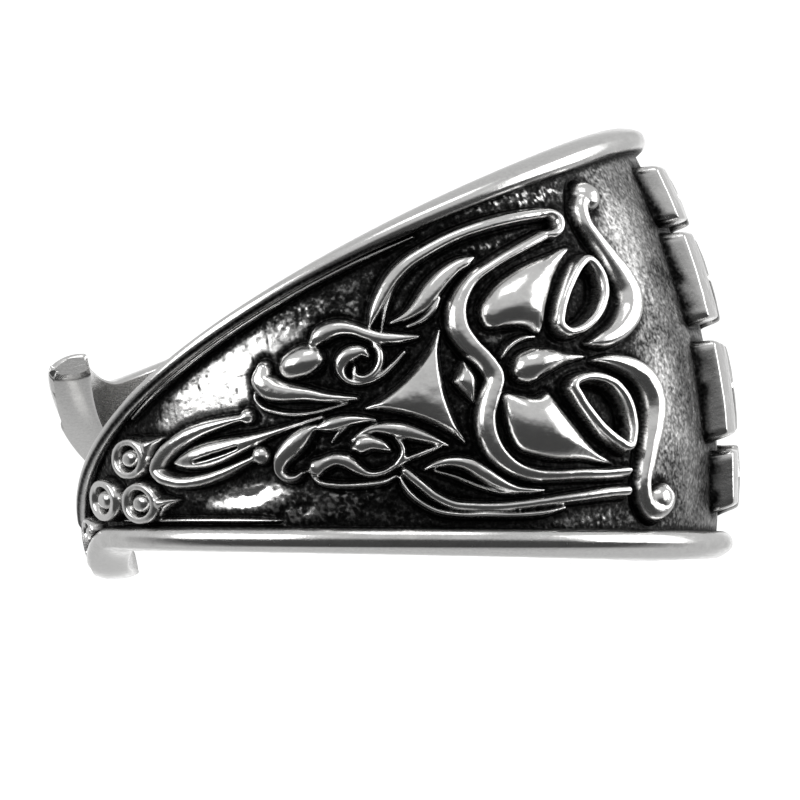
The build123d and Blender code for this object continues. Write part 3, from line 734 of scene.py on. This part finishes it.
def rim_line(side, first, last, spans=6):
    """A thin raised line just inside a rim, fading at both ends."""
    rows = []
    for i in range(spans + 1):
        t = first + (last - first) * i / spans
        a, b = field_edges(t)
        edge = b - RIM_LINE_WIDTH if side > 0 else a + RIM_LINE_WIDTH
        zero, one = height_at(t, 0), height_at(t, 1)
        share = RIM_LINE_END if i in (0, spans) else 1
        rows.append((t, (edge - zero) / (one - zero), RIM_LINE_WIDTH * share))
    return rows


def draw_ornament():
    relief = Relief()
    for places in EYES.values():
        relief.sink(places, EYE_DEPTH)
        rows = [(t, across, EYE_WIDTH * EYE_FULLER) for t, across in places]
        relief.ridge(rows + rows[:1], RIDGE_HEIGHT, EYE_FLANK)
    for name, (high, rows) in RIDGES.items():
        fuller = FULLER_AS_NAMED.get(name, FULLER)
        rows = [(t, across, wide * fuller) for t, across, wide in rows]
        relief.ridge(rows, high * RIDGE_HEIGHT, lean=LEAN.get(name, 0))
    for high, places in MOUNDS.values():
        relief.mound(places, high * RIDGE_HEIGHT)
    for high, rows in FINE_LINES:
        relief.ridge(rows, high * RIDGE_HEIGHT)
    for row in TARGETS:
        relief.boss(*row, BOSS_HEIGHT)
    for t, across, share in BALLS:
        high = min(share * RIDGE_WIDTH + BALL_LIFT, RIDGE_HEIGHT)
        relief.dot(t, across, share, high, BALL_FLANK, BALL_TOP)
    for row in KNOBS:
        relief.dot(*row, RIDGE_HEIGHT * KNOB_SHARE, KNOB_FLANK, ROUND_TOP)
    for high, corners in PLATES:
        relief.plate(high * RIDGE_HEIGHT, corners, PLATE_BEVEL)
    for high, corners in TAILS:
        relief.plate(high * RIDGE_HEIGHT, corners, TAIL_BEVEL)
    for depth, rows in GROOVES:
        relief.groove(rows, depth * RIDGE_HEIGHT)
    for corners in TILES.values():
        relief.tile(corners)
    for side, first, last, share in RIM_LINES:
        relief.ridge(rim_line(side, first, last), RIM_LINE_HEIGHT * share)
    return relief


# The finish: what casting, blackening and wear do to the map, with painted shade under the upper rim.

def blurred(a, reach):
    """The map with each value spread over its neighbours."""
    n = int(reach / PITCH * BLUR_SPAN)
    k = np.exp(-0.5 * (np.arange(-n, n + 1) * PITCH / reach) ** 2)
    k /= k.sum()
    for axis in (0, 1):
        pad = [(n, n) if axis == i else (0, 0) for i in (0, 1)]
        wide = np.pad(a, pad, mode="edge")
        a = sum(w * np.take(wide, range(i, i + a.shape[axis]), axis) for i, w in enumerate(k))
    return a


def lattice(x, y, seed):
    """Smooth noise from 0 to 1 over a lattice of random values."""
    table = np.random.default_rng(seed).random((LATTICE, LATTICE))
    i, j = np.floor(x).astype(int), np.floor(y).astype(int)
    f, g = ease(x - i), ease(y - j)
    i, j, after, above = i % LATTICE, j % LATTICE, (i + 1) % LATTICE, (j + 1) % LATTICE
    a = table[i, j] * (1 - f) + table[after, j] * f
    b = table[i, above] * (1 - f) + table[after, above] * f
    return a * (1 - g) + b * g


def grain(x, y, long, tall, seed):
    """Noise that is the same after half a turn where the two halves meet."""
    here = lattice(x / long, y / tall, seed)
    share = rising(np.abs(x), 0, GRAIN_BLEND)
    there = lattice(-x / long, -y / tall, seed)
    return here * (0.5 + 0.5 * share) + there * (0.5 - 0.5 * share)


def spots(x, y, table):
    """Soft spots on the map, from rows with the columns of WORN."""
    total = np.zeros_like(x)
    for angle, across, reach_along, reach_across, amount in table:
        e = np.hypot((x - along(angle)) / reach_along, (y - height_at(angle, across)) / reach_across)
        total = total + amount * falling(e, SPOT_EDGE, 1)
    return total


def mixed(grains, shares):
    """Grains added up by their shares, each swinging round 0."""
    return sum(share * (grains[name] - 0.5) for name, share in shares.items())


def lit(gap, least, start, span):
    """A factor on the tone: the least one near a stroke or rim, and 1 further away."""
    return least + (1 - least) * rising(gap, start, span)


def field_tone(relief, x, y, t, grains, worn, front):
    """Tone of the sunk field: mostly black, with wear, specks, grain and a strip of painted shade under the
    upper rim.
    """
    low_edge, high_edge = field_edges(t)
    sparkle = SPARKLE * (grains["tiny"] - 0.5)
    field = FIELD_TONE + mixed(grains, TONE_GRAIN) * (1 - FRONT_CALM * front) + mixed(grains, TONE_PATCHES)
    field = field + front * (FRONT_TONE + sparkle)
    cracks = sum(deep * falling(grains[name], level, CRACK_EDGE) for name, (deep, level) in CRACKS.items())
    field = field + worn * (WORN_TONE - cracks + sparkle)
    rim_gap = np.minimum(y - low_edge, high_edge - y)
    field = field * lit(relief.gap, *BESIDE_STROKES) * lit(rim_gap, *BESIDE_RIMS)
    # Painted shade: the field is darkened in a strip under the upper rim, where the rim's shade falls.
    strip = rising(t, *SHADE_STRIP_START) * falling(t, *SHADE_STRIP_END)
    field = field * (1 - PAINTED_SHADE_DARK * strip * falling(high_edge - y, *SHADE_STRIP_WIDTH))
    specks = rising(0.5 * grains["tiny"] + 0.5 * grains["fine"], *SPECKS)
    field = field + spots(x, y, SPECKLED) * specks
    return field * (1 - HOLLOW_DARK * relief.dark)


def raised_tone(relief, grains):
    """Tone of what is raised: polished, and black in its hollows and at its foot."""
    cavity = blurred(relief.high, CAVITY_REACH) - relief.high
    polished = rising(relief.lift, *POLISHED) * (1 - rising(cavity, *CAVITY))
    return polished * (RAISED_TONE + RAISED_TONE_GRAIN * (grains["coarse"] - 0.5))


def finish(relief):
    """Gives the map its tone, 0 where it is blackened and 1 where it is polished, with painted shade under
    the upper rim, and its grain.
    """
    x, y = np.meshgrid(relief.x, relief.y, indexing="ij")
    t = np.degrees(x / FIELD_RADIUS)
    grains = {name: grain(x, y, *row) for name, row in GRAINS.items()}
    worn = spots(x, y, WORN)
    front = falling(t, *FRONT_END)
    raised = rising(relief.lift, 0, RAISED_FROM)
    flat = 1 - raised

    field = field_tone(relief, x, y, t, grains, worn, front)
    tone = np.where(relief.lift > LEAST_LIFT, raised_tone(relief, grains), field)
    relief.tone = np.clip(tone, 0, 1)

    low_edge, high_edge = field_edges(t)
    above = SMOOTH_LOW + (1 - SMOOTH_LOW) * rising(y, (low_edge + high_edge) / 2, 0.5)
    smooth = np.clip(SMOOTH_WORN * np.clip(worn, 0, 1) * above + SMOOTH_FRONT * front, 0, 1)
    rough = mixed(grains, FIELD_ROUGH) * flat * (1 - smooth)
    moat = MOAT_DEPTH * np.exp(-((np.clip(relief.gap, 0, FAR_GAP) / MOAT_REACH) ** 2)) * flat
    dents = spots(x, y, DENTS) * flat
    soft = mixed(grains, RAISED_ROUGH) * raised
    relief.high = blurred(relief.high, SOFTENING) + rough - moat - dents + soft


# The skin: a closed section at each angle, swept round the finger hole.

def through(a, b, c, rows):
    """Points on the circle through three points, each given as two arrays over the columns."""
    (ax, ay), (bx, by), (cx, cy) = a, b, c
    d = 2 * (ax * (by - cy) + bx * (cy - ay) + cx * (ay - by))
    sa, sb, sc = ax**2 + ay**2, bx**2 + by**2, cx**2 + cy**2
    ox = (sa * (by - cy) + sb * (cy - ay) + sc * (ay - by)) / d
    oy = (sa * (cx - bx) + sb * (ax - cx) + sc * (bx - ax)) / d
    first, second, third = (np.arctan2(y - oy, x - ox) for x, y in (a, b, c))
    sweep = sum((q - p + pi) % tau - pi for p, q in ((first, second), (second, third)))
    angle = first[:, None] + sweep[:, None] * np.linspace(0, 1, rows)
    size = np.hypot(ax - ox, ay - oy)[:, None]
    return ox[:, None] + size * np.cos(angle), oy[:, None] + size * np.sin(angle)


def rim_end(t, edge, side):
    """The rim's rounded edge, from the finger hole to its shoulder, and the shoulder."""
    one = np.ones_like(t)
    wide = rim_upper(t) if side > 0 else RIM_WIDTH
    inner = one * (BORE_RADIUS - FIELD_WALL * EDGE_INNER), edge - side * wide * EDGE_INSET
    top = one * (BORE_RADIUS + RIM_WALL * 0.5), edge
    shoulder = one * (RIM_RADIUS - RIM_WALL * SHOULDER_DROP), edge - side * wide * SHOULDER_INSET
    return through(inner, top, shoulder, END_ROWS), shoulder


def rim_crown(shoulder, edge, foot):
    """The rim from its shoulder over its crown down to the field."""
    one = np.ones_like(edge)
    return through(shoulder, (one * RIM_RADIUS, (edge + foot) / 2), (one * FIELD_RADIUS, foot), CROWN_ROWS)


def crown_tone(t, w, foot):
    gap = np.abs(w - foot[:, None])
    speck = grain(np.broadcast_to(along(t)[:, None], w.shape), w, *CROWN_GRAIN)
    return (CROWN_TONE + CROWN_TONE_GRAIN * speck) * rising(gap, *CROWN_FOOT)


def plain_tip(r, w, tone, middle, half, tip):
    """Past the field the band is plain and slightly crowned."""
    over = 1 - ((w - middle) / np.maximum(half - RIM_WIDTH * SHOULDER_INSET, 0.1)) ** 2
    plain = RIM_RADIUS + RIM_WALL * SHOULDER_DROP * (np.clip(over, 0, 1) - 1)
    return r * (1 - tip) + plain * tip, tone * (1 - tip) + TIP_TONE * tip


def eased_end(t, r, w, middle):
    """The band with the edges of its very end rounded."""
    left = (TIP_ANGLE - t)[:, None] * radians(1) * FIELD_RADIUS
    x = np.clip(1 - left / TIP_EDGE_LENGTH, 0, 1)
    pull = TIP_EDGE * (1 - np.sqrt(1 - x**2))
    centre = BORE_RADIUS + RIM_WALL / 2
    r = r + np.sign(centre - r) * np.minimum(np.abs(centre - r), pull)
    w = w + np.sign(middle - w) * np.minimum(np.abs(middle - w), pull)
    return r, w


def sections(t, rows, relief):
    """Radius, height along the hole and tone of each section's points, the field with so many rows."""
    low, high = lower(t), upper(t)
    a, b = field_edges(t)
    meet = (a + b) / 2
    a, b = np.minimum(a, meet), np.maximum(b, meet)
    low_end, low_shoulder = rim_end(t, low, -1)
    high_end, high_shoulder = rim_end(t, high, 1)
    high_end = [v[:, ::-1] for v in high_end]
    low_crown = [v[:, 1:] for v in rim_crown(low_shoulder, low, a)]
    high_crown = [v[:, ::-1][:, :-1] for v in rim_crown(high_shoulder, high, b)]

    field_w = a[:, None] + (b - a)[:, None] * np.linspace(0, 1, rows + 2)[1:-1]
    x = np.broadcast_to(along(t)[:, None], field_w.shape)
    angle = np.broadcast_to(t[:, None], field_w.shape)
    open_field = 1 - ease((t - FIELD_END + FIELD_FADE) / FIELD_FADE)[:, None]
    field_r = field_radius(angle, field_w) + relief.sample(relief.high, x, field_w) * open_field
    low_w, high_w = low_end[1][:, :1], high_end[1][:, -1:]
    bore_w = low_w + (high_w - low_w) * np.linspace(1, 0, WALL_ROWS + 2)[1:-1]

    strips = [
        (*low_end, END_TONE),
        (*low_crown, crown_tone(t, low_crown[1], a)),
        (field_r, field_w, relief.sample(relief.tone, x, field_w)),
        (*high_crown, crown_tone(t, high_crown[1], b)),
        (*high_end, END_TONE),
        (BORE_RADIUS + 0 * bore_w, bore_w, WALL_TONE),
    ]
    r = np.maximum(np.hstack([strip[0] for strip in strips]), BORE_RADIUS)
    w = np.hstack([strip[1] for strip in strips])
    tone = np.hstack([strip[2] + 0 * strip[1] for strip in strips])

    middle, half = ((low + high) / 2)[:, None], ((high - low) / 2)[:, None]
    outer = np.zeros(r.shape[1], bool)
    outer[END_ROWS:-(END_ROWS + WALL_ROWS)] = True
    r, tone = plain_tip(r, w, tone, middle, half, (1 - open_field) * outer)
    r, w = eased_end(t, r, w, middle)
    return r, w, tone


def placed(t, r, w, far):
    """Points in the model's frame, in metres."""
    a = np.radians(t)[:, None]
    p = np.stack([r * np.cos(a), -r * np.sin(a), w], -1)
    if far:
        p = p * (1, -1, -1)
    p = p @ np.array(REST).T + np.array(HOLE_CENTRE)
    p[..., 2] = np.maximum(p[..., 2], 0)
    return p * MM


def seam(t, rows, count, far, relief):
    """A section's field where it meets a coarser length: the rows lie on the neighbour's lines."""
    r, w, _ = sections(t, count, relief)
    guide = placed(t, r, w, far)[0, FIELD_START:FIELD_START + count + 2]
    at, knots = np.linspace(0, 1, rows + 2), np.linspace(0, 1, count + 2)
    return np.stack([np.interp(at, knots, guide[:, axis]) for axis in range(3)], -1)


def add_object(name, data):
    added = bpy.data.objects.new(name, data)
    bpy.context.scene.collection.objects.link(added)
    return added


def make_piece(name, points, faces, normals, tones, wall_face):
    """A piece with set normals. The wall face, which is nearly flat, tells which way the faces turn."""
    mesh = bpy.data.meshes.new(name)
    mesh.from_pydata(points.tolist(), [], faces)
    mesh.update()
    face = mesh.polygons[wall_face]
    if Vector(face.normal).dot(Vector(normals[face.vertices[0]])) < 0:
        mesh.flip_normals()
    mesh.attributes.new("tone", "FLOAT", "POINT").data.foreach_set("value", tones.astype(np.float32))
    mesh.shade_smooth()
    mesh.normals_split_custom_set_from_vertices(normals.tolist())
    return add_object(name, mesh)


def skin(name, first, last, rows, far, neighbours, relief, step):
    """One length of the ring. neighbours are the row counts of the lengths before and after it."""
    n = int(along(last - first) / step) + 2
    t = np.linspace(first, last, n)
    ghost = t[1] - t[0]
    t = np.concatenate([[first - ghost], t, [last + ghost]])
    at_tip = last >= TIP_ANGLE
    if at_tip:
        t[-1] = last + END_GHOST
    r, w, tone = sections(t, rows, relief)
    p = placed(t, r, w, far)
    for column, count in zip((1, -2), neighbours):
        if count and count < rows:
            p[column, FIELD_START:FIELD_START + rows + 2] = seam(t[column:][:1], rows, count, far, relief)

    across = np.roll(p, -1, 1) - np.roll(p, 1, 1)
    normals = np.cross(across[1:-1], p[2:] - p[:-2])
    normals /= np.linalg.norm(normals, axis=2, keepdims=True) + 1e-20
    p, tones = p[1:-1], tone[1:-1].ravel()
    loop = p.shape[1]
    i, j = np.meshgrid(np.arange(n - 1), np.arange(loop), indexing="ij")
    here, beside = i * loop + j, i * loop + (j + 1) % loop
    faces = np.stack([here, here + loop, beside + loop, beside], -1).reshape(-1, 4).tolist()
    points, normals = p.reshape(-1, 3), normals.reshape(-1, 3)
    if at_tip:
        rim = p[-1]
        base = len(points)
        beyond = placed(np.array([last + 1]), r[-2:-1], w[-2:-1], far)[0]
        outward = beyond.mean(0) - rim.mean(0)
        outward /= np.linalg.norm(outward)
        points = np.vstack([points, rim, rim.mean(0)])
        tones = np.concatenate([tones, np.full(loop + 1, CAP_TONE)])
        normals = np.vstack([normals, np.tile(outward, (loop + 1, 1))])
        faces += [[base + k, base + loop, base + (k + 1) % loop] for k in range(loop)]
    return make_piece(name, points, faces, normals, tones, loop - WALL_ROWS // 2)


def link(tree, a, b):
    tree.links.new(a, b)


def grey(level):
    return level, level, level, 1


def ramp(tree, value, stops):
    """A colour ramp. Each stop: position, colour."""
    node = tree.nodes.new("ShaderNodeValToRGB")
    while len(node.color_ramp.elements) < len(stops):
        node.color_ramp.elements.new(0.5)
    for element, (at, colour) in zip(node.color_ramp.elements, stops):
        element.position = at
        element.color = colour
    link(tree, value, node.inputs["Fac"])
    return node.outputs["Color"]


def silver_material():
    """Silver whose colour, gloss and fine pits follow the tone."""
    mat = bpy.data.materials.new("oxidised_silver")
    mat.use_nodes = True
    tree = mat.node_tree
    nodes = tree.nodes
    nodes.clear()
    out = nodes.new("ShaderNodeOutputMaterial")
    bsdf = nodes.new("ShaderNodeBsdfPrincipled")
    link(tree, bsdf.outputs["BSDF"], out.inputs["Surface"])
    bsdf.inputs["Metallic"].default_value = 1.0
    tone = nodes.new("ShaderNodeAttribute")
    tone.attribute_name = "tone"
    place = nodes.new("ShaderNodeTexCoord")

    def noise(scale, detail, stretch=None):
        tex = nodes.new("ShaderNodeTexNoise")
        tex.inputs["Scale"].default_value = scale
        tex.inputs["Detail"].default_value = detail
        source = place.outputs["Object"]
        if stretch:
            mapping = nodes.new("ShaderNodeMapping")
            mapping.inputs["Scale"].default_value = stretch
            link(tree, source, mapping.inputs["Vector"])
            source = mapping.outputs["Vector"]
        link(tree, source, tex.inputs["Vector"])
        return tex.outputs["Fac"]

    def calculate(kind, a, b):
        node = nodes.new("ShaderNodeMath")
        node.operation = kind
        for socket, value in zip(node.inputs, (a, b)):
            if isinstance(value, (int, float)):
                socket.default_value = value
            else:
                link(tree, value, socket)
        return node.outputs[0]

    def remap(value, from_a, from_b, to_a, to_b):
        node = nodes.new("ShaderNodeMapRange")
        link(tree, value, node.inputs["Value"])
        for key, v in (("From Min", from_a), ("From Max", from_b), ("To Min", to_a), ("To Max", to_b)):
            node.inputs[key].default_value = v
        return node.outputs["Result"]

    speck = noise(9000, 3)
    scratch = noise(2500, 2, (1, 1, 12))
    dark = calculate("SUBTRACT", 1, tone.outputs["Fac"])
    mottle = remap(speck, 0.3, 0.7, -0.16, 0.16)
    shift = calculate("MULTIPLY", mottle, calculate("ADD", dark, 0.12))
    level = calculate("ADD", tone.outputs["Fac"], shift)
    stops = [(at, (value, value * 0.995, value * 0.985, 1)) for at, value in SILVER_STOPS]
    link(tree, ramp(tree, level, stops), bsdf.inputs["Base Color"])
    gloss = remap(level, 0, 1, *ROUGHNESS)
    rough = calculate("ADD", gloss, remap(scratch, 0.35, 0.65, -0.03, 0.05))
    link(tree, rough, bsdf.inputs["Roughness"])
    bump = nodes.new("ShaderNodeBump")
    bump.inputs["Distance"].default_value = 0.00002
    bump.inputs["Strength"].default_value = 0.5
    wave = calculate("MULTIPLY", speck, calculate("ADD", dark, 0.22))
    link(tree, wave, bump.inputs["Height"])
    link(tree, bump.outputs["Normal"], bsdf.inputs["Normal"])
    return mat


def make_ring():
    relief = draw_ornament()
    finish(relief)
    material = silver_material()
    spans = list(zip(LENGTHS, MARKS, MARKS[1:]))
    for half, step in HALF_STEPS.items():
        counts = []
        for _, first, last in spans:
            low_edges, high_edges = field_edges(np.array([first, last]))
            counts.append(int(max(high_edges - low_edges) / step))
        neighbours = [FRONT_ROWS, *counts, 0]
        for k, (length, first, last) in enumerate(spans):
            beside = neighbours[k], neighbours[k + 2]
            piece = skin(f"{half}_{length}", first, last, counts[k], half == "far", beside, relief, step)
            piece.data.materials.append(material)
            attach(piece, "root")
            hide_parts("cast_ring")


def make_lights():
    """Soft boxes aimed at the ring."""
    centre = Vector(HOLE_CENTRE) * MM
    for name, (azimuth, elevation, wide, tall, radiance) in BOXES.items():
        a, e = radians(azimuth), radians(elevation)
        at = centre + Vector((sin(a) * cos(e), -cos(a) * cos(e), sin(e))) * BOX_DISTANCE
        light = bpy.data.lights.new(name, "AREA")
        light.shape = "RECTANGLE"
        light.size, light.size_y = wide, tall
        light.energy = radiance * pi * wide * tall
        lamp = add_object(name, light)
        lamp.location = at
        lamp.rotation_mode = "QUATERNION"
        lamp.rotation_quaternion = (centre - at).to_track_quat("-Z", "Y")


def make_floor():
    """A plain pale floor, faintly lit from within and left out of the ring's reflections."""
    mesh = bpy.data.meshes.new("floor")
    corners = [(x * FLOOR_REACH, y * FLOOR_REACH, 0) for x, y in ((-1, -1), (1, -1), (1, 1), (-1, 1))]
    mesh.from_pydata(corners, [], [(0, 1, 2, 3)])
    floor = add_object("floor", mesh)
    mat = bpy.data.materials.new("pale_floor")
    mat.use_nodes = True
    bsdf = mat.node_tree.nodes["Principled BSDF"]
    bsdf.inputs["Base Color"].default_value = grey(FLOOR_TONE)
    bsdf.inputs["Roughness"].default_value = 1.0
    bsdf.inputs["Specular IOR Level"].default_value = 0.0
    bsdf.inputs["Emission Color"].default_value = grey(1)
    bsdf.inputs["Emission Strength"].default_value = FLOOR_GLOW
    mesh.materials.append(mat)
    floor.visible_glossy = False


def make_world():
    """White behind the ring, grey above and around it, and dark low down on the camera's side."""
    world = bpy.data.worlds.new("studio")
    bpy.context.scene.world = world
    world.use_nodes = True
    tree = world.node_tree
    back = tree.nodes["Background"]
    coord = tree.nodes.new("ShaderNodeTexCoord")
    split = tree.nodes.new("ShaderNodeSeparateXYZ")
    link(tree, coord.outputs["Generated"], split.inputs["Vector"])

    def shades(value, stops):
        spread = tree.nodes.new("ShaderNodeMapRange")
        link(tree, value, spread.inputs["Value"])
        spread.inputs["From Min"].default_value = -1
        return ramp(tree, spread.outputs["Result"], [((at + 1) / 2, grey(level)) for at, level in stops])

    def mix(factor, a, b, blend="MIX"):
        node = tree.nodes.new("ShaderNodeMix")
        node.data_type, node.blend_type = "RGBA", blend
        for key, value in (("Factor", factor), ("A", a), ("B", b)):
            if isinstance(value, bpy.types.NodeSocket):
                link(tree, value, node.inputs[key])
            else:
                node.inputs[key].default_value = value
        return node.outputs["Result"]

    depth = shades(split.outputs["Y"], DEPTH_STOPS)
    rise = shades(split.outputs["Z"], RISE_STOPS)
    room = mix(1.0, depth, rise, "LIGHTEN")
    dim = mix(room, grey(ROOM_DARK), grey(ROOM_GREY))
    white = shades(split.outputs["Y"], WHITE_STOPS)
    whole = mix(white, dim, grey(ROOM_WHITE))
    link(tree, whole, back.inputs["Color"])


def make_camera():
    """Just above the floor, rolled to the ring's slant in the photograph."""
    centre = Vector(HOLE_CENTRE) * MM
    drop, roll = radians(CAMERA_DROP), radians(-(PHOTO_SLANT - REST_ANGLE))
    data = bpy.data.cameras.new("camera")
    camera = add_object("camera", data)
    data.sensor_width = SENSOR
    data.lens = SENSOR * FOCAL_LENGTH / PHOTO_SIZE
    data.shift_x = (PHOTO_SIZE / 2 - RING_AT[0]) / PHOTO_SIZE
    data.shift_y = (RING_AT[1] - PHOTO_SIZE / 2) / PHOTO_SIZE
    data.clip_start, data.clip_end = CLIP
    camera.location = centre + Vector((0, -cos(drop), -sin(drop))) * CAMERA_DISTANCE
    camera.rotation_mode = "QUATERNION"
    look = (centre - camera.location).to_track_quat("-Z", "Y")
    camera.rotation_quaternion = look @ Matrix.Rotation(roll, 3, "Z").to_quaternion()
    bpy.context.scene.camera = camera


make_ring()
make_floor()
make_world()
make_camera()
make_lights()
bpy.context.scene.view_settings.view_transform = "Standard"
